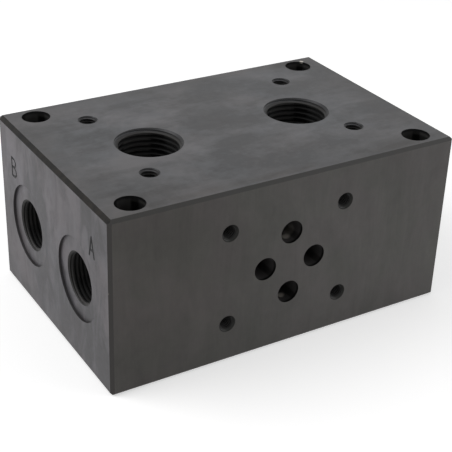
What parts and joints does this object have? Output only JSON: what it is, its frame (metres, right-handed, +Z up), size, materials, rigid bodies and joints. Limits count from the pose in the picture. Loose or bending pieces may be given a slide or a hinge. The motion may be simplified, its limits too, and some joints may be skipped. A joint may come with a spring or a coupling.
{
  "type": "hydraulic manifold block",
  "caption": "Rectangular steel hydraulic manifold block with a size 6 valve face, threaded pressure, tank and work ports, mounting holes and plugged cross drillings.",
  "frame": {"origin": "centre of the underside", "axes": "+X along the block's length, away from the end face with the work ports; +Y from the valve face to the back face; +Z up, out of the face with the pressure and tank ports"},
  "size_m": [0.12, 0.08, 0.058],
  "materials": {
    "blackened_steel": "phosphated, dark grey, satin, with faint milling marks",
    "plug_steel": "black oxide, satin"
  },
  "bodies": {
    "root": {"manifold_block": "blackened_steel", "pressure_gallery_plug": "plug_steel", "tank_gallery_plug": "plug_steel"}
  },
  "joints": []
}
